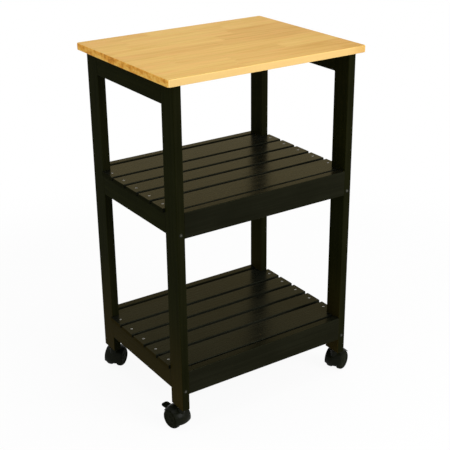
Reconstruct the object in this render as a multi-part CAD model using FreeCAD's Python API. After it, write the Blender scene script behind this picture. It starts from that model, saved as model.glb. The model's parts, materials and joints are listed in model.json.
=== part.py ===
import FreeCAD, Part
import math
import os

# Kitchen cart: block worktop, painted board frame, two slatted shelves and four twin-wheel casters.
# Millimetres, +Z up, X along the worktop, the front of the cart towards -Y.

# Worktop
cart_height = 835.0
worktop_length = 508.0
worktop_depth = 404.0
worktop_thickness = 16.0
worktop_corner_radius = 6.0
worktop_edge_radius = 2.0
worktop_overhang_x = 18.0
worktop_overhang_y = 13.0

# Frame boards
board_thickness = 19.0
board_edge_radius = 1.5
leg_width = 49.0
apron_height = 49.0
long_rail_height = 59.5
side_rail_height = 49.0
lower_rail_base = 100.0
upper_rail_base = 483.5

# Slats
slat_width = 49.0
slat_gap = 9.0
slat_thickness = 9.5
slat_edge_radius = 1.5
slat_overhang = 4.5
end_slat_rail_gap = 7.5
slat_notch_clearance = 0.5
narrow_slats = 3

# Dowels
dowel_radius = 4.0
dowel_chamfer = 1.0
dowel_length = 40.0
rail_dowel_length = 30.0
rail_dowel_leg_depth = 12.0
rail_dowel_heights = (24.0, 47.0)
dowel_nut_gap = 2.5
apron_dowel_heights = (14.0, 35.0)

# Slat screws
slat_screw_head_radius = 2.9
slat_screw_head_height = 2.0
slat_screw_head_crown = 0.3
slat_screw_shank_radius = 1.6
slat_screw_tip = 4.0
slat_screw_tip_gap = 3.2
slat_screw_sink = 0.3

# Shelf bolts and their barrel nuts
bolt_head_radius = 4.5
bolt_head_height = 3.0
bolt_head_crown = 1.0
bolt_radius = 3.0
bolt_end_reach = 4.0
bolt_tip = 1.0
bolt_sink = 0.4
bolt_height = 9.5
nut_radius = 5.0
nut_length = 14.0
nut_inset = 22.0

# Worktop screws
worktop_screw_head_radius = 4.2
worktop_screw_head_height = 2.6
worktop_screw_shank_radius = 2.1
worktop_screw_bite = 11.0
worktop_screw_tip = 4.0
worktop_screw_counterbore = 24.0
worktop_screw_inset = 45.0

# Drive recess in screw and bolt heads
recess_length = 3.4
recess_width = 0.9
recess_depth = 1.2

# Stem inserts
insert_radius = 6.0
insert_length = 20.0
insert_groove = 0.8
insert_grooves = 3

# Caster wheels
wheel_radius = 25.0
wheel_width = 14.0
wheel_side_gap = 0.8
wheel_shoulder = 8.5
wheel_inner_edge = 1.5
wheel_rim_wall = 4.5
wheel_hub_radius = 7.5
wheel_pocket_depth = 9.0
wheel_dish_radius = 15.5
wheel_dish_depth = 1.0
wheel_cap_radius = 8.0
wheel_bore_cover = 2.3
wheel_ribs = 8
wheel_rib_thickness = 1.6
wheel_rib_sink = 1.0
wheel_rib_root = 1.0

# Caster body
caster_trail = 16.0
hood_gap = 1.3
hood_skirt_wall = 2.0
hood_crown_wall = 3.9
hood_skirt_angle = 45.0
hood_nose_angle = 195.0
hood_tail_angle = 42.0
web_thickness = 14.0
web_radius = 24.5
web_overlap = 6.0
web_drop = 10.0
boss_radius = 7.5
boss_base = 22.0
boss_neck_gap = 4.0
turret_radius = 9.5
turret_rise = 1.8

# Caster stem and axle
stem_pin_radius = 4.5
stem_thread_radius = 4.0
stem_thread_length = 22.0
stem_collar_radius = 7.2
stem_collar_gap = 0.3
stem_pin_length = 30.0
stem_groove_height = 4.0
stem_groove_width = 1.6
stem_groove_depth = 0.7
stem_chamfer = 0.8
axle_radius = 3.0
axle_end_gap = 0.5

# Brake lever of the locking casters; out and up are from the axle
lever_pivot_out = 14.5
lever_pivot_up = 12.5
lever_pin_radius = 2.0
lever_pin_reach = 6.2
lever_hub_radius = 4.5
lever_tongue_width = 6.0
lever_tongue_height = 6.5
lever_tongue_lap = 3.0
lever_side_gap = 0.4
lever_slot_back = 5.5
lever_slot_drop = 9.0
lever_slot_rise = 6.0
pedal_width = 19.0
pedal_inner_out = 27.0
pedal_outer_out = 45.0
pedal_up = 11.0
pedal_tip_rise = 1.0
pedal_thickness = 4.2
pedal_corner_radius = 6.0
pedal_edge_radius = 1.2

# Swivel of each caster as the cart stands, in degrees from the wheels' axle along X
caster_swivels = {"front_left": 10.0, "front_right": -65.0, "back_left": -53.0, "back_right": 24.0}
braked_casters = ("front_left", "back_right")

# Clearances and the overrun of cuts
fit_clearance = 0.1
running_clearance = 0.05
press_clearance = 0.02
hole_end_gap = 0.5
cut_overrun = 1.0

full_turn = 360.0
parallel_share = 0.99

# Places that follow from the sizes above
frame_half_x = worktop_length / 2 - worktop_overhang_x
frame_half_y = worktop_depth / 2 - worktop_overhang_y
worktop_base = cart_height - worktop_thickness
leg_inner_x = frame_half_x - board_thickness
leg_inner_y = frame_half_y - leg_width
leg_mid_x = frame_half_x - board_thickness / 2
leg_mid_y = frame_half_y - leg_width / 2
rail_inner_y = frame_half_y - board_thickness
apron_base = worktop_base - apron_height
slat_half_length = frame_half_x + slat_overhang
narrow_half_y = (narrow_slats * slat_width + (narrow_slats - 1) * slat_gap) / 2
end_slat_inner_y = narrow_half_y + slat_gap
end_slat_outer_y = rail_inner_y - end_slat_rail_gap
side_rail_dowel_height = bolt_height + nut_radius + dowel_nut_gap + dowel_radius
slat_screw_end = side_rail_dowel_height + dowel_radius + slat_screw_tip_gap
slat_screw_length = side_rail_height + slat_thickness - slat_screw_sink - slat_screw_end
bolt_length = leg_width + nut_inset + nut_radius + bolt_end_reach
wheel_inner_w = boss_radius + wheel_side_gap
wheel_outer_w = wheel_inner_w + wheel_width
hood_inner_radius = wheel_radius + hood_gap
boss_top = wheel_radius + hood_inner_radius + hood_crown_wall + turret_rise
leg_ground_gap = boss_top + boss_neck_gap
stem_pin_base = boss_top + stem_collar_gap - stem_pin_length

V = FreeCAD.Vector
AXIS_X = V(1, 0, 0)
AXIS_Y = V(0, 1, 0)
AXIS_Z = V(0, 0, 1)
SIDES = (("left", -1), ("right", 1))
ENDS = (("front", -1), ("back", 1))
SHELVES = (("lower", lower_rail_base), ("upper", upper_rail_base))


def block(x_low, x_high, y_low, y_high, z_low, z_high):
    """Rectangular solid between two limits along each axis."""
    corner = V(min(x_low, x_high), min(y_low, y_high), min(z_low, z_high))
    return Part.makeBox(abs(x_high - x_low), abs(y_high - y_low), abs(z_high - z_low), corner)


def edges_along(solid, axis):
    """The straight edges of a solid that run along an axis."""
    found = []
    for edge in solid.Edges:
        run = edge.Vertexes[-1].Point - edge.Vertexes[0].Point
        if run.Length > 0 and abs(run.normalize().dot(axis)) > parallel_share:
            found.append(edge)
    return found


def eased(solid, radius, axis):
    """A board with its edges along one axis rounded over."""
    return solid.makeFillet(radius, edges_along(solid, axis))


def profile(start, *steps):
    """Closed face in the XZ plane; a step is an end point, or an arc's through point and end point."""
    edges = []
    at = V(start[0], 0, start[1])
    first = at
    for step in steps:
        points = [V(r, 0, h) for r, h in step]
        if len(points) == 1:
            edges.append(Part.LineSegment(at, points[0]).toShape())
        else:
            edges.append(Part.Arc(at, points[0], points[1]).toShape())
        at = points[-1]
    edges.append(Part.LineSegment(at, first).toShape())
    return Part.Face(Part.Wire(edges))


def arc_middle(centre, radius, angle):
    """Point on a circle, for an arc's through point."""
    turn = math.radians(angle)
    return (centre[0] + radius * math.cos(turn), centre[1] + radius * math.sin(turn))


def placed(solid, position, direction):
    """A solid made about +Z, turned to a direction and moved to its place."""
    moved = solid.copy()
    moved.Placement = FreeCAD.Placement(position, FreeCAD.Rotation(AXIS_Z, direction))
    return moved


def turned(start, *steps):
    """Solid of revolution about +Z from its half section, given as radius and height."""
    return profile(start, *steps).revolve(V(0, 0, 0), AXIS_Z, full_turn)


def rod(radius, length, position, direction):
    """Plain cylinder that starts at a point and runs along a direction."""
    return Part.makeCylinder(radius, length, position, direction)


def fitted(board, holes):
    """The board with every hole that reaches it cut out."""
    near = [hole for hole in holes if hole.BoundBox.intersect(board.BoundBox)]
    if not near:
        return board
    return board.cut(near).Solids[0]


# Dowels, as pairs of the dowel and its hole

def dowel(length, position, direction):
    """Dowel with chamfered ends, and the hole that takes it, both starting at a point."""
    waist = dowel_radius - dowel_chamfer
    body = turned((0, 0), [(waist, 0)], [(dowel_radius, dowel_chamfer)],
                  [(dowel_radius, length - dowel_chamfer)], [(waist, length)], [(0, length)])
    start = position - direction * hole_end_gap
    hole = rod(dowel_radius + fit_clearance, length + 2 * hole_end_gap, start, direction)
    return placed(body, position, direction), hole


def rail_dowels():
    """Dowels along X between the long rails and the legs."""
    pairs = []
    for _, base in SHELVES:
        for height in rail_dowel_heights:
            for _, sx in SIDES:
                for _, sy in ENDS:
                    x = sx * (leg_inner_x + rail_dowel_leg_depth)
                    y = sy * (frame_half_y - board_thickness / 2)
                    pairs.append(dowel(rail_dowel_length, V(x, y, base + height), AXIS_X * -sx))
    return pairs


def cross_dowels(heights):
    """Dowels along Y between the legs and the boards that join front legs to back legs."""
    pairs = []
    for height in heights:
        for _, sx in SIDES:
            for _, sy in ENDS:
                y = sy * (leg_inner_y + dowel_length / 2)
                pairs.append(dowel(dowel_length, V(sx * leg_mid_x, y, height), AXIS_Y * -sy))
    return pairs


# Screws, bolts and nuts, as pairs of the piece and its hole

def cross_recess(top):
    """Cross slot for a driver, below a head's top face."""
    long_slot = block(-recess_length / 2, recess_length / 2, -recess_width / 2, recess_width / 2,
                      top - recess_depth, top + cut_overrun)
    return long_slot.fuse(long_slot.rotated(V(0, 0, 0), AXIS_Z, full_turn / 4))


def countersunk(head_radius, head_height, crown, radius, length, tip, sink, position, direction):
    """Countersunk screw, crowned above its sunk rim, and its hole; the direction points out."""
    top = -sink
    tip_radius = radius - min(tip, radius / 2)
    dome = (head_radius ** 2 + crown ** 2) / (2 * crown)
    spread = math.degrees(math.asin(head_radius / dome))
    crown_mid = arc_middle((0, top + crown - dome), dome, full_turn / 4 - spread / 2)
    body = turned((0, top + crown), [crown_mid, (head_radius, top)], [(radius, top - head_height)],
                  [(radius, top - length + tip)], [(tip_radius, top - length)], [(0, top - length)])
    wide = head_radius + fit_clearance
    narrow = radius + fit_clearance
    end = top - length - hole_end_gap
    hole = turned((0, cut_overrun), [(wide, cut_overrun)], [(wide, top)], [(narrow, top - head_height)],
                  [(narrow, end)], [(0, end)])
    screw = body.cut(cross_recess(top + crown)).Solids[0]
    return placed(screw, position, direction), placed(hole, position, direction)


def slat_screw_rows():
    """Y places of the slat screws: slat centres, and the tongues of the end slats beside the legs."""
    pitch = slat_width + slat_gap
    rows = [(index - (narrow_slats - 1) / 2) * pitch for index in range(narrow_slats)]
    tongue = (end_slat_inner_y + leg_inner_y) / 2
    return [-tongue] + rows + [tongue]


def slat_screws(base):
    """Screws down through the slat ends into the side rails of one shelf."""
    top = base + side_rail_height + slat_thickness
    sizes = (slat_screw_head_radius, slat_screw_head_height, slat_screw_head_crown,
             slat_screw_shank_radius, slat_screw_length, slat_screw_tip, slat_screw_sink)
    pairs = []
    for y in slat_screw_rows():
        for _, sx in SIDES:
            pairs.append(countersunk(*sizes, V(sx * leg_mid_x, y, top), AXIS_Z))
    return pairs


def shelf_bolts():
    """Bolts through the legs into the ends of the side rails."""
    pairs = []
    for _, base in SHELVES:
        for _, sx in SIDES:
            for _, sy in ENDS:
                place = V(sx * leg_mid_x, sy * frame_half_y, base + bolt_height)
                pairs.append(countersunk(bolt_head_radius, bolt_head_height, bolt_head_crown, bolt_radius,
                                         bolt_length, bolt_tip, bolt_sink, place, AXIS_Y * sy))
    return pairs


def barrel_nuts(bolt_holes):
    """Cross dowel nuts in the side rails, let in from the rails' inner faces."""
    pairs = []
    for _, base in SHELVES:
        for _, sx in SIDES:
            for _, sy in ENDS:
                y = sy * (leg_inner_y - nut_inset)
                z = base + bolt_height
                outward = AXIS_X * sx
                low = V(sx * (leg_mid_x - nut_length / 2), y, z)
                body = fitted(rod(nut_radius, nut_length, low, outward), bolt_holes)
                mouth = V(sx * (leg_inner_x - cut_overrun), y, z)
                depth = board_thickness / 2 + nut_length / 2 + cut_overrun + press_clearance
                pairs.append((body, rod(nut_radius + fit_clearance, depth, mouth, outward)))
    return pairs


def worktop_screws():
    """Screws up through the aprons into the worktop, with their heads in deep counterbores."""
    seat = apron_base + worktop_screw_counterbore
    tip = worktop_base + worktop_screw_bite
    low = seat - worktop_screw_head_height
    thread_end = tip - worktop_screw_tip
    head = worktop_screw_head_radius
    shank = worktop_screw_shank_radius
    body = turned((0, low), [(head, low)], [(head, seat)], [(shank, seat)],
                  [(shank, thread_end)], [(0, tip)])
    body = body.cut(cross_recess(0).mirror(V(0, 0, 0), AXIS_Z).translated(V(0, 0, low))).Solids[0]
    wide = head + fit_clearance
    narrow = shank + fit_clearance
    mouth = apron_base - cut_overrun
    end = tip + hole_end_gap
    hole = turned((0, mouth), [(wide, mouth)], [(wide, seat)], [(narrow, seat)],
                  [(narrow, end)], [(0, end)])
    pairs = []
    for _, sx in SIDES:
        for _, sy in ENDS:
            place = V(sx * leg_mid_x, sy * (leg_inner_y - worktop_screw_inset), 0)
            pairs.append((body.translated(place), hole.translated(place)))
    return pairs


def stem_inserts():
    """Threaded inserts in the lower ends of the legs."""
    bore = stem_thread_radius + press_clearance
    body = turned((bore, 0), [(insert_radius, 0)], [(insert_radius, insert_length)],
                  [(bore, insert_length)])
    pitch = insert_length / (insert_grooves + 1)
    floor = insert_radius - insert_groove
    wide = insert_radius + cut_overrun
    for index in range(insert_grooves):
        low = (index + 1) * pitch - insert_groove / 2
        high = low + insert_groove
        body = body.cut(turned((floor, low), [(wide, low)], [(wide, high)], [(floor, high)]))
    body = body.Solids[0]
    depth = stem_thread_length + hole_end_gap + cut_overrun
    pairs = []
    for _, sx in SIDES:
        for _, sy in ENDS:
            place = V(sx * leg_mid_x, sy * leg_mid_y, leg_ground_gap)
            hole = rod(insert_radius + fit_clearance, depth, place - AXIS_Z * cut_overrun, AXIS_Z)
            pairs.append((body.translated(place), hole))
    return pairs


# Boards

def worktop(holes):
    """Block board with rounded corners and eased edges."""
    board = block(-worktop_length / 2, worktop_length / 2, -worktop_depth / 2, worktop_depth / 2,
                  worktop_base, cart_height)
    board = eased(board, worktop_corner_radius, AXIS_Z)
    rims = [edge for edge in board.Edges if abs(edge.BoundBox.ZLength) < worktop_thickness / 2]
    return fitted(board.makeFillet(worktop_edge_radius, rims), holes)


def leg(sx, sy, holes):
    """Flat leg from the caster to the worktop."""
    board = block(sx * leg_inner_x, sx * frame_half_x, sy * leg_inner_y, sy * frame_half_y,
                  leg_ground_gap, worktop_base)
    return fitted(eased(board, board_edge_radius, AXIS_Z), holes)


def side_board(sx, base, height, holes):
    """Apron or side rail between the front leg and the back leg of one side."""
    board = block(sx * leg_inner_x, sx * frame_half_x, -leg_inner_y, leg_inner_y, base, base + height)
    return fitted(eased(board, board_edge_radius, AXIS_Y), holes)


def long_rail(sy, base, holes):
    """Rail along the front or the back of a shelf, between the legs."""
    board = block(-leg_inner_x, leg_inner_x, sy * rail_inner_y, sy * frame_half_y,
                  base, base + long_rail_height)
    return fitted(eased(board, board_edge_radius, AXIS_X), holes)


def slat(y_low, y_high, base, holes):
    """Shelf slat on the side rails; an end slat is notched round the two legs beside it."""
    low = base + side_rail_height
    board = block(-slat_half_length, slat_half_length, y_low, y_high, low, low + slat_thickness)
    board = eased(board, slat_edge_radius, AXIS_X)
    notch_x = leg_inner_x - slat_notch_clearance
    notch_y = leg_inner_y - slat_notch_clearance
    for _, sx in SIDES:
        for _, sy in ENDS:
            notch = block(sx * notch_x, sx * (slat_half_length + cut_overrun), sy * notch_y,
                          sy * frame_half_y, low - cut_overrun, low + slat_thickness + cut_overrun)
            board = board.cut(notch)
    return fitted(board.Solids[0], holes)


def slat_limits():
    """Y limits of the slats of one shelf, from the front to the back."""
    pitch = slat_width + slat_gap
    limits = [(-end_slat_outer_y, -end_slat_inner_y)]
    for index in range(narrow_slats):
        low = index * pitch - narrow_half_y
        limits.append((low, low + slat_width))
    limits.append((end_slat_inner_y, end_slat_outer_y))
    return limits


# Caster, about its stem: X along the axle, Y to the trailing side, Z up from the floor

axle_place = V(0, caster_trail, wheel_radius)


def caster_wheel(direction):
    """One of the two wheels: crowned tread, dished outer face, and a ribbed pocket on the inner side."""
    bore = axle_radius + running_clearance
    bore_end = wheel_outer_w - wheel_bore_cover
    rim_inner = wheel_radius - wheel_rim_wall
    pocket = wheel_inner_w + wheel_pocket_depth
    dish = wheel_outer_w - wheel_dish_depth
    inner_mid = arc_middle((wheel_radius - wheel_inner_edge, wheel_inner_w + wheel_inner_edge),
                           wheel_inner_edge, -full_turn / 8)
    outer_mid = arc_middle((wheel_radius - wheel_shoulder, wheel_outer_w - wheel_shoulder),
                           wheel_shoulder, full_turn / 8)
    body = turned((0, bore_end), [(bore, bore_end)], [(bore, wheel_inner_w)],
                  [(wheel_hub_radius, wheel_inner_w)], [(wheel_hub_radius, pocket)], [(rim_inner, pocket)],
                  [(rim_inner, wheel_inner_w)], [(wheel_radius - wheel_inner_edge, wheel_inner_w)],
                  [inner_mid, (wheel_radius, wheel_inner_w + wheel_inner_edge)],
                  [(wheel_radius, wheel_outer_w - wheel_shoulder)],
                  [outer_mid, (wheel_radius - wheel_shoulder, wheel_outer_w)],
                  [(wheel_dish_radius, wheel_outer_w)], [(wheel_dish_radius - wheel_dish_depth, dish)],
                  [(wheel_cap_radius + wheel_dish_depth, dish)], [(wheel_cap_radius, wheel_outer_w)],
                  [(0, wheel_outer_w)])
    rib = block(wheel_hub_radius - wheel_rib_root, rim_inner + wheel_rib_root, -wheel_rib_thickness / 2,
                wheel_rib_thickness / 2, wheel_inner_w + wheel_rib_sink, pocket + wheel_rib_root)
    ribs = [rib.rotated(V(0, 0, 0), AXIS_Z, full_turn * index / wheel_ribs) for index in range(wheel_ribs)]
    return placed(body.fuse(ribs).Solids[0], axle_place, direction)


def caster_axle():
    """Steel pin through the body's web into both wheels."""
    reach = wheel_outer_w - wheel_bore_cover - axle_end_gap
    return rod(axle_radius, 2 * reach, axle_place - AXIS_X * reach, AXIS_X)


def caster_stem():
    """Stem: thread in the leg's insert, collar under the leg, and a grooved pin in the body's boss."""
    collar = boss_top + stem_collar_gap
    top = leg_ground_gap + stem_thread_length
    groove = stem_pin_base + stem_groove_height
    neck = stem_pin_radius - stem_groove_depth
    return turned((0, stem_pin_base), [(stem_pin_radius - stem_chamfer, stem_pin_base)],
                  [(stem_pin_radius, stem_pin_base + stem_chamfer)],
                  [(stem_pin_radius, groove)], [(neck, groove)],
                  [(neck, groove + stem_groove_width)], [(stem_pin_radius, groove + stem_groove_width)],
                  [(stem_pin_radius, collar)], [(stem_collar_radius, collar)],
                  [(stem_collar_radius, leg_ground_gap)], [(stem_thread_radius, leg_ground_gap)],
                  [(stem_thread_radius, top - stem_chamfer)],
                  [(stem_thread_radius - stem_chamfer, top)], [(0, top)])


def hood():
    """Barrel-shaped hood over the wheels with the root of the web under it, swept about the axle."""
    side = wheel_outer_w - wheel_shoulder
    centre = (side, wheel_radius - wheel_shoulder)
    inner = wheel_shoulder + hood_gap
    skirt = arc_middle(centre, inner, hood_skirt_angle)
    skirt_mid = arc_middle(centre, inner, (hood_skirt_angle + full_turn / 4) / 2)
    rim = arc_middle(centre, inner + hood_skirt_wall, hood_skirt_angle)
    web = web_thickness / 2
    root = web_radius - web_overlap
    section = profile((-web, hood_inner_radius), [(-side, hood_inner_radius)],
                      [(-skirt_mid[0], skirt_mid[1]), (-skirt[0], skirt[1])], [(-rim[0], rim[1])],
                      [(0, hood_inner_radius + hood_crown_wall), rim], [skirt],
                      [skirt_mid, (side, hood_inner_radius)], [(web, hood_inner_radius)],
                      [(web, root)], [(-web, root)])
    section.rotate(V(0, 0, 0), AXIS_X, hood_tail_angle - full_turn / 4)
    swept = section.revolve(V(0, 0, 0), AXIS_X, hood_nose_angle - hood_tail_angle)
    return swept.translated(axle_place)


def turret():
    """Round neck on the hood about the stem, kept out of the wheels' room."""
    room = rod(hood_inner_radius, 2 * turret_radius, axle_place - AXIS_X * turret_radius, AXIS_X)
    return rod(turret_radius, boss_top - wheel_radius, V(0, 0, wheel_radius), AXIS_Z).cut(room)


def caster_body(braked):
    """Moulded body: hood, web between the wheels, and the boss that turns on the stem."""
    web = rod(web_radius, web_thickness, axle_place - AXIS_X * (web_thickness / 2), AXIS_X)
    low = block(-web_thickness, web_thickness, -wheel_radius, caster_trail + wheel_radius,
                0, wheel_radius - web_drop)
    boss = rod(boss_radius, boss_top - boss_base, V(0, 0, boss_base), AXIS_Z)
    body = web.cut(low).fuse([hood(), boss, turret()])
    stem_floor = stem_pin_base - hole_end_gap
    stem_bore = rod(stem_pin_radius + running_clearance, boss_top + cut_overrun - stem_floor,
                    V(0, 0, stem_floor), AXIS_Z)
    axle_bore = rod(axle_radius + press_clearance, 2 * web_thickness,
                    axle_place - AXIS_X * web_thickness, AXIS_X)
    tools = [stem_bore, axle_bore]
    if braked:
        tools += lever_room()
    return body.cut(tools).Solids[0]


lever_pivot = axle_place + V(0, lever_pivot_out, lever_pivot_up)


def lever_room():
    """Slot in the web for the lever's tongue, and the seats of its pivot."""
    half = lever_tongue_width / 2 + lever_side_gap
    slot = block(-half, half, lever_pivot.y - lever_slot_back, caster_trail + web_radius + cut_overrun,
                 lever_pivot.z - lever_slot_drop, lever_pivot.z + lever_slot_rise)
    reach = lever_pin_reach + lever_side_gap
    seat = rod(lever_pin_radius + running_clearance, 2 * reach, lever_pivot - AXIS_X * reach, AXIS_X)
    return [slot, seat]


def lever_plate(width, first, *others):
    """Plate across the middle of the caster, from the corners of its side, out and up from the axle."""
    side = profile(first, *[[corner] for corner in others])
    side = side.rotated(V(0, 0, 0), AXIS_Z, full_turn / 4)
    return side.extrude(AXIS_X * width).translated(axle_place - AXIS_X * (width / 2))


def brake_pedal():
    """Flat tab that rises a little to its tip, with round corners and soft edges."""
    low = pedal_up
    high = pedal_up + pedal_thickness
    plate = lever_plate(pedal_width, (pedal_inner_out, low), (pedal_outer_out, low + pedal_tip_rise),
                        (pedal_outer_out, high + pedal_tip_rise), (pedal_inner_out, high))
    root = axle_place.y + pedal_inner_out + pedal_edge_radius
    corners = [edge for edge in edges_along(plate, AXIS_Z) if edge.CenterOfMass.y > root]
    plate = plate.makeFillet(pedal_corner_radius, corners)
    rims = [edge for edge in plate.Edges
            if edge.CenterOfMass.y > root and edge.BoundBox.ZLength < pedal_thickness / 2]
    return plate.makeFillet(pedal_edge_radius, rims)


def brake_lever():
    """Brake pedal with its tongue, its hub and the pivot stubs that turn in the body's web."""
    half = lever_tongue_width / 2
    hub = rod(lever_hub_radius, lever_tongue_width, lever_pivot - AXIS_X * half, AXIS_X)
    pin = rod(lever_pin_radius, 2 * lever_pin_reach, lever_pivot - AXIS_X * lever_pin_reach, AXIS_X)
    middle = pedal_up + pedal_thickness / 2
    root = pedal_inner_out + lever_tongue_lap
    tongue = lever_plate(lever_tongue_width, (lever_pivot_out, lever_pivot_up - lever_tongue_height / 2),
                         (root, middle - pedal_thickness / 4), (root, middle + pedal_thickness / 4),
                         (lever_pivot_out, lever_pivot_up + lever_tongue_height / 2))
    return brake_pedal().fuse([hub, tongue, pin]).removeSplitter().Solids[0]


def caster_pieces(name):
    """The pieces of one caster, by node name, where it stands under its leg."""
    braked = name in braked_casters
    pieces = {
        "stem": caster_stem(),
        "body": caster_body(braked),
        "axle": caster_axle(),
        "wheel_left": caster_wheel(AXIS_X * -1),
        "wheel_right": caster_wheel(AXIS_X),
    }
    if braked:
        pieces["brake_lever"] = brake_lever()
    end, side = name.split("_")
    place = V(dict(SIDES)[side] * leg_mid_x, dict(ENDS)[end] * leg_mid_y, 0)
    stand = FreeCAD.Placement(place, FreeCAD.Rotation(AXIS_Z, caster_swivels[name]))
    for piece in pieces.values():
        piece.Placement = stand.multiply(piece.Placement)
    return {"caster_" + name + "_" + key: piece for key, piece in pieces.items()}


def group(pairs):
    """The pieces of a set of fasteners as one group of separate solids."""
    return Part.makeCompound([piece for piece, _ in pairs])


def cart():
    """Every piece of the cart by node name, about the middle of the frame."""
    bolts = shelf_bolts()
    fasteners = {
        "rail_dowels": rail_dowels(),
        "side_rail_dowels": cross_dowels([base + side_rail_dowel_height for _, base in SHELVES]),
        "apron_dowels": cross_dowels([apron_base + height for height in apron_dowel_heights]),
        "shelf_bolts": bolts,
        "barrel_nuts": barrel_nuts([hole for _, hole in bolts]),
        "worktop_screws": worktop_screws(),
        "stem_inserts": stem_inserts(),
    }
    for shelf, base in SHELVES:
        fasteners[shelf + "_slat_screws"] = slat_screws(base)
    holes = [hole for pairs in fasteners.values() for _, hole in pairs]
    nodes = {"worktop": worktop(holes)}
    for end, sy in ENDS:
        for side, sx in SIDES:
            nodes["leg_" + end + "_" + side] = leg(sx, sy, holes)
    for side, sx in SIDES:
        nodes["apron_" + side] = side_board(sx, apron_base, apron_height, holes)
    for shelf, base in SHELVES:
        for end, sy in ENDS:
            nodes[shelf + "_long_rail_" + end] = long_rail(sy, base, holes)
        for side, sx in SIDES:
            nodes[shelf + "_side_rail_" + side] = side_board(sx, base, side_rail_height, holes)
        for number, (y_low, y_high) in enumerate(slat_limits(), 1):
            nodes[shelf + "_slat_" + str(number)] = slat(y_low, y_high, base, holes)
    for name, pairs in fasteners.items():
        nodes[name] = group(pairs)
    for name in caster_swivels:
        nodes.update(caster_pieces(name))
    return nodes


# The origin is on the floor at the middle of the cart's footprint, casters included as they stand.
nodes = cart()
extent = Part.makeCompound(list(nodes.values())).optimalBoundingBox()
origin_shift = V(-extent.Center.x, -extent.Center.y, 0)

os.makedirs("parts", exist_ok=True)
for name, shape in nodes.items():
    shape.translated(origin_shift).exportStep("parts/" + name + ".step")
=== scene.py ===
import json
import math

import bpy
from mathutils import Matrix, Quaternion, Vector

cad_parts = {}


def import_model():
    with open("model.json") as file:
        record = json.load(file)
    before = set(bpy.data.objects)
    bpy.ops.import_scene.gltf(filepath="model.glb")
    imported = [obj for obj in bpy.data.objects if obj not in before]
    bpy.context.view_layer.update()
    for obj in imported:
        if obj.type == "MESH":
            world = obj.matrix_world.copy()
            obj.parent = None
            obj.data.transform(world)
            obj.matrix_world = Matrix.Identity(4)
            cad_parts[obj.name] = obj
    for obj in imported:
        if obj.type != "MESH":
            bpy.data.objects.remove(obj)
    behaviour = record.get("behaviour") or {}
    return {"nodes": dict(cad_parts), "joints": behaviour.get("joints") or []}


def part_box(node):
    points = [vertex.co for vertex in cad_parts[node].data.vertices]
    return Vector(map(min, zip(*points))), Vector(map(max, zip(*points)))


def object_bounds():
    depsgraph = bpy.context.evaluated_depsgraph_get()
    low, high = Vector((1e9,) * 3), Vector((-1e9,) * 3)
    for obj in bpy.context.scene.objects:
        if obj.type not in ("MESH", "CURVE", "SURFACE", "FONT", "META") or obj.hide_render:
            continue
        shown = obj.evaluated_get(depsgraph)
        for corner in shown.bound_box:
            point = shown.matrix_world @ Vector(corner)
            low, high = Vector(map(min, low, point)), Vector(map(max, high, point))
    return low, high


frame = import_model()
cad_low, cad_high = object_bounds()
nodes = frame["nodes"]

# Lengths are in metres, noise scales and waves are per metre, and colours are linear.
# A span is the part of a value over which a step rises, and a relief is a bump's depth and strength.

# Camera, from the worktop's middle and the floor, fitted to the edges as they lie in the picture
camera_offset = Vector((-1.2128, -1.8489, 1.3407))
camera_yaw = math.radians(-33.46)
camera_pitch = math.radians(-23.13)
camera_roll = math.radians(-0.64)
focal_pixels = 1002.8
picture_pixels = 450
sensor_width = 36.0

# All materials: the span that holds most of a noise, and the cosines that tell an edge from a face
noise_span = (0.3, 0.7)
edge_span = (0.995, 0.86)

# Block board: staves, the blocks along them and the joints
stave_count = 9
block_length = 0.27
block_stagger = 3.7
finger_pitch = 0.0045
finger_depth = 0.010
glue_line = 0.00035
glue_share = 0.32
glue_brown = (0.34, 0.17, 0.05)
# Painted highlight along the eased edges
arris_highlight_radius = 0.0018
arris_highlight_share = 0.35
arris_highlight_tone = (1.0, 0.76, 0.38)
board_face_span = (0.55, 0.8)
board_roughness = (0.54, 0.44)
board_gloss = 0.06
board_relief = (0.00012, 0.6)

# Block board: long grain
block_pattern_spacing = 5.0
block_tones = ((0.0, (0.625, 0.375, 0.095)), (0.4, (0.67, 0.424, 0.113)),
               (0.75, (0.69, 0.445, 0.123)), (1.0, (0.72, 0.480, 0.143)))
streak_scale = (5.0, 120.0, 120.0)
streak_share = 0.9
streak_shades = ((0.30, (0.86, 0.79, 0.64)), (0.5, (1.0, 1.0, 1.0)), (0.72, (1.06, 1.07, 1.06)))
warmth_scale = (9.0, 55.0, 55.0)
warmth_span = (0.40, 0.68)
warmth_share = 0.55
warm_grain = (0.70, 0.380, 0.112)
pore_scale = (55.0, 1400.0, 1400.0)
pore_span = (0.62, 0.76)
pore_share = 0.30
pore_depth = 0.8
pore_brown = (0.42, 0.23, 0.075)
right_end_start = 0.45
right_end_back_share = 0.35
right_end_shade = (0.89, 0.83, 0.69)
side_face_fade = 0.06
side_face_shares = (0.72, 0.25)
side_face_tone = (0.87, 0.635, 0.258)

# Block board: end grain, with its mottling paler at the underside than at the top
end_tones = ((0.36, (0.565, 0.205, 0.020)), (0.51, (0.850, 0.395, 0.052)), (0.70, (1.0, 0.605, 0.130)))
end_roughness = 0.12
patch_scale = (60.0, 60.0, 110.0)
patch_levels = (0.05, -0.04)
stave_tone_seed = 9.0
stave_tone_spread = 0.16
pith_seed = 5.0
pith_spread = 1.6
pith_start = 0.3
pith_depth = 0.012
ring_wave = 2600.0
ring_waver = 0.0022
ring_waver_scale = 160.0
ring_share = 0.22
ring_brown = (0.60, 0.25, 0.03)
end_pore_scale = 900.0
end_pore_span = (0.56, 0.72)
end_pore_share = 0.35
end_pore_brown = (0.46, 0.18, 0.025)

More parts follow.
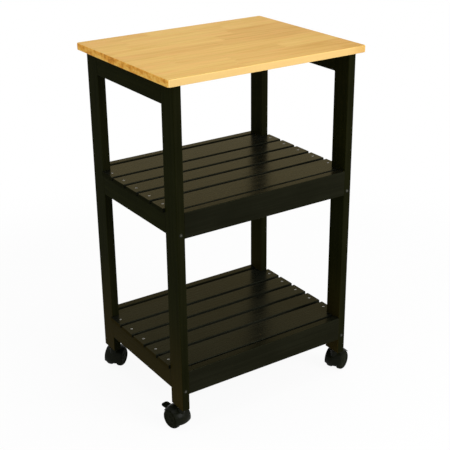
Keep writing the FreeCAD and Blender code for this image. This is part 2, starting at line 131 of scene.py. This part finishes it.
# Painted boards: grain axis, dark and light black, and share of warm gloss of each paint
board_blacks = ((0.0056, 0.0060, 0.0020), (0.0092, 0.0095, 0.0034))
rail_blacks = ((0.0068, 0.0071, 0.0038), (0.0104, 0.0108, 0.0060))
slat_blacks = ((0.0086, 0.0094, 0.0062), (0.0128, 0.0138, 0.0094))
paints = {
    "black_paint_x": ("x", rail_blacks, 0.36),
    "black_paint_y": ("y", board_blacks, 0.0),
    "black_paint_z": ("z", board_blacks, 0.0),
    "slat_paint": ("x", slat_blacks, 0.43),
}
bronze_edge_tint = (1.0, 0.885, 0.64, 1.0)
# Painted shade that darkens the ends, the faces along X, of bronze paints
painted_end_shade = (0.58, 0.64, 0.42)
bronze_side_roughness = 0.65
# Painted light that brightens the faces along X of plain paints
painted_side_light = (1.28, 1.35, 0.90)
paint_gloss = 0.002

# Painted boards: grain and clouds under the paint, its skin, wear and a painted highlight at the edges, and
# painted light bounced from the floor
board_pattern_spacing = 9.0
paint_face_span = (0.4, 0.8)
paint_span = (0.35, 0.65)
grain_along = 4.0
grain_across = 140.0
grain_share = 0.6
grain_roughness = (0.22, 0.30)
grain_relief = (0.00010, 0.25)
cloud_scale = 9.0
cloud_share = 0.4
cloud_roughness = (-0.02, 0.03)
peel_scale = 620.0
peel_relief = (0.00004, 0.25)
# Wear at the edges of the paint, lighter than the paint, which also serves as a painted highlight along them
wear_and_highlight_edge = 0.0016
wear_and_highlight_scale = 55.0
wear_and_highlight_span = (0.42, 0.66)
wear_and_highlight_shares = (0.02, 0.22)
wear_and_highlight_tone = (0.042, 0.032, 0.016)
# Painted warm light bounced from the floor onto the faces along X near it
floor_light_top = 0.36
floor_light_share = 0.66
floor_bounce_light = (0.0360, 0.0245, 0.0052)

# Dowels
dowel_grain_scale = (120.0, 260.0, 260.0)
dowel_tones = ((0.3, (0.52, 0.36, 0.19)), (0.7, (0.68, 0.50, 0.30)))
dowel_roughness = 0.6

# Metal: dark, light, least and most roughness of each plating, and how dark a bolt head is round its painted
# glint
platings = {
    "zinc_steel": ((0.30, 0.29, 0.26), (0.46, 0.45, 0.41), (0.27, 0.43), 1.0),
    "black_zinc": ((0.120, 0.121, 0.092), (0.230, 0.231, 0.180), (0.35, 0.51), 0.1),
    "brass": ((0.52, 0.36, 0.13), (0.72, 0.54, 0.24), (0.28, 0.44), 1.0),
}
# Painted glint in the middle of the bolt heads
glint_span = (0.965, 0.990)
tarnish_scale = 420.0
turning_scale = (900.0, 900.0, 5200.0)
turning_relief = (0.00003, 0.3)

# Plastic of the hoods and levers
hood_blacks = ((0.35, (0.0034, 0.0041, 0.0015)), (0.7, (0.0062, 0.0070, 0.0030)))
hood_roughness = (0.28, 0.40)
hood_gloss = 0.055
handling_scale = 90.0
hood_wear_edge = 0.0009
hood_wear_span = (0.4, 0.65)
hood_wear_shares = (0.1, 0.6)
hood_wear = (0.017, 0.018, 0.012)
spark_scale = 1900.0
spark_relief = (0.00005, 0.35)

# Plastic of the wheels
casters = ("front_left", "front_right", "back_left", "back_right")
wheel_blacks = ((0.3, (0.0042, 0.0052, 0.0019)), (0.7, (0.0072, 0.0082, 0.0034)))
wheel_roughness = (0.53, 0.65)
wheel_gloss = 0.012
scuff_scale = 240.0
wheel_dust_span = (0.42, 0.68)
wheel_dust_shares = (0.02, 0.22)
wheel_dust = (0.034, 0.031, 0.023)
wheel_ring_wave = 9000.0
wheel_ring_share = 0.25
wheel_relief = (0.00006, 0.3)

# Studio: floor, world, and the place, size and power in watts of each soft box
white = (1.0, 1.0, 1.0, 1.0)
floor_half = 9.0
floor_grey = (0.86, 0.86, 0.86, 1.0)
floor_glow = (0.93, 1.0)
floor_fade_start = 0.75
floor_fade_end = 1.6
world_fill = 0.55
soft_boxes = {
    "key": ((0.9, -2.6, 1.5), 1.6, 62.0),
    "over": ((-0.2, -0.3, 2.8), 1.8, 18.0),
    "side": ((-1.9, 0.2, 2.3), 0.5, 2.5),
}


class Graph:
    """Node tree of a material or a world, with short calls for the nodes used here."""

    def __init__(self, owner):
        owner.use_nodes = True
        self.owner = owner
        self.tree = owner.node_tree

    def node(self, kind, sockets=None, **settings):
        """A new node; each socket takes a plain value or another node's output."""
        made = self.tree.nodes.new(kind)
        for key, value in settings.items():
            setattr(made, key, value)
        for key, value in (sockets or {}).items():
            self.feed(made.inputs[key], value)
        return made

    def feed(self, socket, value):
        """Links an output to a socket, or sets the socket's own value."""
        if isinstance(value, bpy.types.NodeSocket):
            self.tree.links.new(value, socket)
        else:
            socket.default_value = value

    def finish(self, **sockets):
        """The material, with its shader's sockets set or linked by name, with _ for a space."""
        shader = self.tree.nodes["Principled BSDF"]
        for key, value in sockets.items():
            self.feed(shader.inputs[key.replace("_", " ")], value)
        return self.owner

    def math(self, operation, *values):
        sockets = dict(enumerate(values))
        return self.node("ShaderNodeMath", sockets, operation=operation).outputs[0]

    def plus(self, first, second):
        return self.math("ADD", first, second)

    def minus(self, first, second):
        return self.math("SUBTRACT", first, second)

    def times(self, first, second):
        return self.math("MULTIPLY", first, second)

    def vector(self, operation, *values):
        sockets = dict(enumerate(values))
        made = self.node("ShaderNodeVectorMath", sockets, operation=operation)
        return made.outputs["Value"] if operation in ("LENGTH", "DOT_PRODUCT") else made.outputs["Vector"]

    def object_point(self):
        return self.node("ShaderNodeTexCoord").outputs["Object"]

    def normal(self):
        return self.node("ShaderNodeNewGeometry").outputs["Normal"]

    def facing(self, axis):
        """How far the surface faces along an axis, either way, from 0 to 1."""
        return self.math("ABSOLUTE", self.split(self.normal())["xyz".index(axis)])

    def split(self, vector):
        made = self.node("ShaderNodeSeparateXYZ", {0: vector})
        return made.outputs[0], made.outputs[1], made.outputs[2]

    def join(self, x, y, z):
        return self.node("ShaderNodeCombineXYZ", {0: x, 1: y, 2: z}).outputs[0]

    def noise(self, vector, scale, detail=4.0, roughness=0.55, distortion=0.0):
        """Noise at one scale, or at one for each axis."""
        if isinstance(scale, tuple):
            vector = self.vector("MULTIPLY", vector, scale)
            scale = 1.0
        sockets = {"Vector": vector, "Scale": scale, "Detail": detail, "Roughness": roughness,
                   "Distortion": distortion}
        return self.node("ShaderNodeTexNoise", sockets).outputs["Fac"]

    def chance(self, first, second=0.0):
        """Even random value from 0 to 1 for each pair of whole numbers."""
        place = self.join(first, second, 0.0)
        return self.node("ShaderNodeTexWhiteNoise", {"Vector": place}, noise_dimensions="3D").outputs["Value"]

    def step(self, value, low, high, to_low=0.0, to_high=1.0):
        """Smooth step of a value between two limits."""
        sockets = {"Value": value, "From Min": low, "From Max": high, "To Min": to_low, "To Max": to_high}
        return self.node("ShaderNodeMapRange", sockets, interpolation_type="SMOOTHSTEP").outputs["Result"]

    def ramp(self, factor, *stops):
        """Colour ramp from pairs of position and colour."""
        made = self.node("ShaderNodeValToRGB", {"Fac": factor})
        elements = made.color_ramp.elements
        while len(elements) < len(stops):
            elements.new(0.5)
        for element, (position, colour) in zip(elements, stops):
            element.position = position
            element.color = (*colour, 1.0)
        return made.outputs["Color"]

    def mix(self, factor, first, second, blend="MIX"):
        """Mix of two colours; a plain colour is given without its alpha."""
        made = self.node("ShaderNodeMix", data_type="RGBA", blend_type=blend)
        for index, value in ((0, factor), (6, first), (7, second)):
            if not isinstance(value, bpy.types.NodeSocket) and index > 0:
                value = (*value, 1.0)
            self.feed(made.inputs[index], value)
        return made.outputs[2]

    def bump(self, height, distance, strength, normal=None):
        sockets = {"Height": height, "Distance": distance, "Strength": strength}
        if normal is not None:
            sockets["Normal"] = normal
        return self.node("ShaderNodeBump", sockets).outputs["Normal"]

    def edge(self, radius):
        """Mask that is 1 on the edges of a solid and 0 on its faces."""
        soft = self.node("ShaderNodeBevel", {"Radius": radius}, samples=6).outputs["Normal"]
        return self.step(self.vector("DOT_PRODUCT", soft, self.normal()), *edge_span)

    def shown_background(self):
        """1 for rays that show the background as it is: camera, mirror and glass rays."""
        path = self.node("ShaderNodeLightPath").outputs
        seen = self.math("MAXIMUM", path["Is Camera Ray"], path["Is Glossy Ray"])
        return self.math("MAXIMUM", seen, path["Is Transmission Ray"])


def material(name):
    """Graph of a new material."""
    return Graph(bpy.data.materials.new(name))


def block_run(g, x, y, row):
    """Place along a stave in block lengths, with the fingers' zigzag and each stave's own start."""
    zigzag = g.times(g.math("PINGPONG", y, finger_pitch), finger_depth / finger_pitch)
    start = g.times(g.chance(row), block_stagger)
    return g.plus(g.math("DIVIDE", g.plus(x, zigzag), block_length), start)


def long_grain(g, place, tone, streaks, pores):
    """Colour of the long grain: a tone for each block, warm clouds, streaks and open pores."""
    warmth = g.step(g.noise(place, warmth_scale, detail=3.0), *warmth_span, 0.0, warmth_share)
    colour = g.mix(warmth, g.ramp(tone, *block_tones), warm_grain)
    colour = g.mix(streak_share, colour, g.ramp(streaks, *streak_shades), "MULTIPLY")
    return g.mix(g.times(pores, pore_share), colour, pore_brown)


def end_grain(g, place, row, level, ring_y, ring_z):
    """Colour of the end grain: mottled staves, growth rings about a pith and open pores."""
    patch = g.noise(place, patch_scale, detail=3.0, roughness=0.6)
    stave_tone = g.times(g.chance(row, stave_tone_seed), stave_tone_spread)
    colour = g.ramp(g.plus(g.plus(patch, level), stave_tone), *end_tones)
    waver = g.times(g.noise(g.object_point(), ring_waver_scale, detail=3.0), ring_waver)
    radius = g.plus(g.vector("LENGTH", g.join(ring_y, ring_z, 0.0)), waver)
    rings = g.math("SINE", g.times(radius, ring_wave))
    colour = g.mix(g.step(rings, -1.0, 1.0, 0.0, ring_share), colour, ring_brown)
    pores = g.step(g.noise(place, end_pore_scale, detail=2.0), *end_pore_span)
    return g.mix(g.times(pores, end_pore_share), colour, end_pore_brown)


def glue_lines(g, from_front, run, stave_width, at_end):
    """Mask of the joints between staves and, off the ends, of those at the fingers."""
    across = g.math("PINGPONG", from_front, stave_width)
    across = g.math("MINIMUM", across, g.minus(stave_width, across))
    seam = g.step(across, glue_line, 0.0)
    along = g.math("FRACT", run)
    along = g.math("MINIMUM", along, g.minus(1.0, along))
    butt = g.step(g.times(along, block_length), glue_line, 0.0)
    return g.math("MAXIMUM", seam, g.times(butt, g.minus(1.0, at_end)))


def block_board():
    """Oiled block board: staves along X of finger-jointed blocks, with end grain at both ends."""
    low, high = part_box("worktop")
    stave_width = (high.y - low.y) / stave_count
    g = material("block_board")
    x, y, z = g.split(g.object_point())
    from_front = g.minus(y, low.y)
    staves = g.math("DIVIDE", from_front, stave_width)
    row = g.math("FLOOR", staves)
    run = block_run(g, x, y, row)
    tone = g.chance(row, g.math("FLOOR", run))
    apart = g.times(tone, block_pattern_spacing)
    place = g.join(g.plus(x, apart), g.plus(y, apart), z)
    at_end = g.step(g.facing("x"), *board_face_span)
    at_side = g.step(g.facing("y"), *board_face_span)

    # Long faces, darker towards the front of the right end and paler on the front and back edges
    streaks = g.noise(place, streak_scale, detail=7.0, roughness=0.65, distortion=0.7)
    pores = g.step(g.noise(place, pore_scale, detail=2.0), *pore_span)
    board = long_grain(g, place, tone, streaks, pores)
    right_end = g.step(x, low.x * (1.0 - right_end_start) + high.x * right_end_start, high.x)
    right_end = g.times(right_end, g.step(y, high.y, low.y, right_end_back_share, 1.0))
    board = g.mix(right_end, board, right_end_shade, "MULTIPLY")
    side_share = g.times(at_side, g.step(x, high.x - side_face_fade, high.x, *side_face_shares))
    board = g.mix(side_share, board, side_face_tone)

    # End faces, where the pith of each stave lies below the board, at a place of its own across the stave
    pith = g.minus(g.times(g.chance(row, pith_seed), pith_spread), pith_start)
    ring_y = g.times(g.minus(g.minus(staves, row), pith), stave_width)
    ring_z = g.minus(z, low.z - pith_depth)
    level = g.step(z, low.z, high.z, *patch_levels)
    colour = g.mix(at_end, board, end_grain(g, place, row, level, ring_y, ring_z))

    # Joints, a painted highlight on the eased edges and the skin of the wood
    joints = glue_lines(g, from_front, run, stave_width, at_end)
    colour = g.mix(g.times(joints, glue_share), colour, glue_brown)
    # Painted highlight on the eased edges
    colour = g.mix(g.times(g.edge(arris_highlight_radius), arris_highlight_share), colour, arris_highlight_tone)
    rough = g.plus(g.step(streaks, *noise_span, *board_roughness), g.times(at_end, end_roughness))
    height = g.minus(streaks, g.plus(g.times(pores, pore_depth), joints))
    return g.finish(Base_Color=colour, Roughness=rough, Specular_IOR_Level=board_gloss,
                    Normal=g.bump(height, *board_relief))


def painted_wood(name, grain, blacks, bronze):
    """Black paint over wood whose grain runs along one axis.

    Bronze is the paint's share of warm gloss, and a paint that has it is dull on the faces along X.
    """
    dark, light = blacks
    stretch = tuple(grain_along if axis == grain else grain_across for axis in "xyz")
    g = material(name)
    shift = g.times(g.node("ShaderNodeObjectInfo").outputs["Random"], board_pattern_spacing)
    place = g.vector("ADD", g.object_point(), g.join(shift, shift, shift))
    lines = g.noise(place, stretch, detail=5.0, distortion=0.5)
    cloud = g.noise(place, cloud_scale, detail=3.0)
    sideways = g.step(g.facing("x"), *paint_face_span)

    # Colour, with wear and a painted highlight at the edges, painted light on the faces along X of plain
    # paints and painted shade on those of bronze paints, and painted warm light bounced from the floor on the
    # faces along X near it
    depth = g.plus(g.times(lines, grain_share), g.times(cloud, cloud_share))
    colour = g.ramp(depth, (paint_span[0], dark), (paint_span[1], light))
    # Painted light on the faces along X of plain paints, painted shade on the ends of bronze paints
    colour = g.mix(sideways, colour, painted_end_shade if bronze else painted_side_light, "MULTIPLY")
    rubbed = g.step(g.noise(place, wear_and_highlight_scale), *wear_and_highlight_span, *wear_and_highlight_shares)
    # Wear and a painted highlight on the edges
    colour = g.mix(g.times(g.edge(wear_and_highlight_edge), rubbed), colour, wear_and_highlight_tone)
    # Painted warm light bounced from the floor, on the faces along X below a height
    height = g.split(g.object_point())[2]
    dust_and_floor_light = g.times(g.step(height, floor_light_top, 0.0, 0.0, floor_light_share), sideways)
    colour = g.mix(dust_and_floor_light, colour, floor_bounce_light)

    # Gloss and the skin of the paint
    rough = g.plus(g.step(lines, *noise_span, *grain_roughness), g.step(cloud, *noise_span, *cloud_roughness))
    if bronze:
        rough = g.plus(rough, g.times(sideways, bronze_side_roughness))
    peel = g.bump(g.noise(place, peel_scale, detail=1.0), *peel_relief)
    return g.finish(Base_Color=colour, Roughness=rough, Metallic=bronze, Specular_IOR_Level=paint_gloss,
                    Specular_Tint=bronze_edge_tint, Normal=g.bump(lines, *grain_relief, peel))


def dowel_wood():
    """Plain wood of the dowels."""
    g = material("dowel_wood")
    lines = g.noise(g.object_point(), dowel_grain_scale, detail=4.0)
    return g.finish(Base_Color=g.ramp(lines, *dowel_tones), Roughness=dowel_roughness)


def metal(name, dark, light, roughness, glint_surround):
    """Plated metal with faint tarnish and turning marks.

    A last value under 1 darkens bolt heads that face along Y, all but their middle, which stays bright as a
    painted glint.
    """
    g = material(name)
    place = g.object_point()
    marks = g.noise(place, turning_scale, detail=2.0)
    tarnish = g.noise(place, tarnish_scale, detail=4.0)
    colour = g.ramp(tarnish, (noise_span[0], dark), (noise_span[1], light))
    if glint_surround < 1.0:
        # Painted glint: the middle of each bolt head stays bright and the rest is darkened
        painted_glint = g.step(g.facing("y"), *glint_span, glint_surround, 1.0)
        colour = g.mix(1.0, colour, g.join(painted_glint, painted_glint, painted_glint), "MULTIPLY")
    return g.finish(Base_Color=colour, Metallic=1.0, Roughness=g.step(marks, *noise_span, *roughness),
                    Normal=g.bump(marks, *turning_relief))


def hood_plastic():
    """Black moulded plastic with a spark-eroded grain and handling marks."""
    g = material("hood_plastic")
    place = g.object_point()
    rubbed = g.noise(place, handling_scale, detail=5.0, distortion=0.4)
    worn = g.times(g.edge(hood_wear_edge), g.step(rubbed, *hood_wear_span, *hood_wear_shares))
    colour = g.mix(worn, g.ramp(rubbed, *hood_blacks), hood_wear)
    return g.finish(Base_Color=colour, Roughness=g.step(rubbed, *noise_span, *hood_roughness),
                    Specular_IOR_Level=hood_gloss,
                    Normal=g.bump(g.noise(place, spark_scale, detail=2.0), *spark_relief))


def wheel_plastic(caster):
    """Hard wheel plastic with scuffs and dust all over and fine turning rings round the axle."""
    spin = next(j for j in frame["joints"] if j["name"] == caster + "_wheel_left_spin")
    axle = tuple(Vector(spin["axis"]).normalized())
    g = material("wheel_" + caster)
    arm = g.vector("SUBTRACT", g.object_point(), tuple(spin["pos_m"]))
    scuff = g.noise(arm, scuff_scale, detail=6.0, distortion=0.7)
    dust_and_floor_light = g.step(scuff, *wheel_dust_span, *wheel_dust_shares)
    colour = g.mix(dust_and_floor_light, g.ramp(scuff, *wheel_blacks), wheel_dust)

    # The rings are counted from a point a metre out along the axle, so they lie almost flat across it
    reach = g.vector("LENGTH", g.vector("SUBTRACT", arm, axle))
    rings = g.math("SINE", g.times(reach, wheel_ring_wave))
    height = g.plus(g.times(rings, wheel_ring_share), scuff)
    return g.finish(Base_Color=colour, Roughness=g.step(scuff, *noise_span, *wheel_roughness),
                    Specular_IOR_Level=wheel_gloss, Normal=g.bump(height, *wheel_relief))


def finish_of(name):
    """Which finish a node has, by the piece that it is."""
    if name == "worktop":
        return "block_board"
    if name.startswith("leg_"):
        return "black_paint_z"
    if name.endswith("dowels"):
        return "dowel_wood"
    if name == "stem_inserts":
        return "brass"
    if "_wheel_" in name:
        return "wheel_" + "_".join(name.split("_")[1:3])
    if name.endswith(("_body", "_brake_lever")):
        return "hood_plastic"
    if "side_rail" in name or name.startswith("apron_"):
        return "black_paint_y"
    if "long_rail" in name:
        return "black_paint_x"
    if name[-1].isdigit():
        return "slat_paint"
    if name == "shelf_bolts":
        return "black_zinc"
    return "zinc_steel"


def dress_all():
    """Makes the finishes and gives every node its own."""
    finishes = {"block_board": block_board(), "dowel_wood": dowel_wood(), "hood_plastic": hood_plastic()}
    for name, settings in paints.items():
        finishes[name] = painted_wood(name, *settings)
    for name, settings in platings.items():
        finishes[name] = metal(name, *settings)
    for caster in casters:
        finishes["wheel_" + caster] = wheel_plastic(caster)
    for name, piece in nodes.items():
        finish = finishes[finish_of(name)]
        if not piece.material_slots:
            piece.data.materials.append(finish)
        for slot in piece.material_slots:
            slot.material = finish


def floor():
    """Pale floor that keeps the cart's shadow and fades into the white background."""
    mesh = bpy.data.meshes.new("floor")
    corners = [(sx * floor_half, sy * floor_half, 0.0) for sx, sy in ((-1, -1), (1, -1), (1, 1), (-1, 1))]
    mesh.from_pydata(corners, [], [(0, 1, 2, 3)])
    plane = bpy.data.objects.new("floor", mesh)
    bpy.context.scene.collection.objects.link(plane)
    g = material("floor")
    far = g.step(g.vector("LENGTH", g.object_point()), floor_fade_start, floor_fade_end)
    shown = g.times(g.shown_background(), g.step(far, 0.0, 1.0, *floor_glow))
    diffuse = g.node("ShaderNodeBsdfDiffuse", {"Color": floor_grey}).outputs[0]
    glow = g.node("ShaderNodeEmission", {"Color": white, "Strength": 1.0}).outputs[0]
    blend = g.node("ShaderNodeMixShader", {0: shown, 1: diffuse, 2: glow}).outputs[0]
    g.feed(g.tree.nodes["Material Output"].inputs["Surface"], blend)
    g.tree.nodes.remove(g.tree.nodes["Principled BSDF"])
    mesh.materials.append(g.owner)


def world():
    """White behind the cart, and an even fill light from all round it."""
    g = Graph(bpy.data.worlds.new("studio"))
    sockets = {"Value": g.shown_background(), "To Min": world_fill, "To Max": 1.0}
    strength = g.node("ShaderNodeMapRange", sockets).outputs["Result"]
    background = g.tree.nodes["Background"].inputs
    g.feed(background["Strength"], strength)
    g.feed(background["Color"], white)
    bpy.context.scene.world = g.owner


def lamp(name, place, size, power):
    """Square soft box aimed at the middle of the cart."""
    data = bpy.data.lights.new(name, "AREA")
    data.size = size
    data.energy = power
    made = bpy.data.objects.new(name, data)
    made.location = place
    made.rotation_mode = "QUATERNION"
    made.rotation_quaternion = ((cad_low + cad_high) / 2 - Vector(place)).to_track_quat("-Z", "Y")
    bpy.context.scene.collection.objects.link(made)


def camera():
    """Camera at the picture's place, with its level and its focal length."""
    data = bpy.data.cameras.new("camera")
    data.sensor_width = sensor_width
    data.lens = focal_pixels / picture_pixels * sensor_width
    made = bpy.data.objects.new("camera", data)
    ahead = Vector((-math.sin(camera_yaw) * math.cos(camera_pitch),
                    math.cos(camera_yaw) * math.cos(camera_pitch), math.sin(camera_pitch)))
    low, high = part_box("worktop")
    made.location = Vector(((low.x + high.x) / 2, (low.y + high.y) / 2, 0.0)) + camera_offset
    made.rotation_mode = "QUATERNION"
    made.rotation_quaternion = ahead.to_track_quat("-Z", "Y") @ Quaternion((0, 0, 1), camera_roll)
    bpy.context.scene.collection.objects.link(made)
    bpy.context.scene.camera = made


dress_all()
floor()
world()
for name, settings in soft_boxes.items():
    lamp(name, *settings)
camera()
bpy.context.scene.view_settings.view_transform = "Standard"
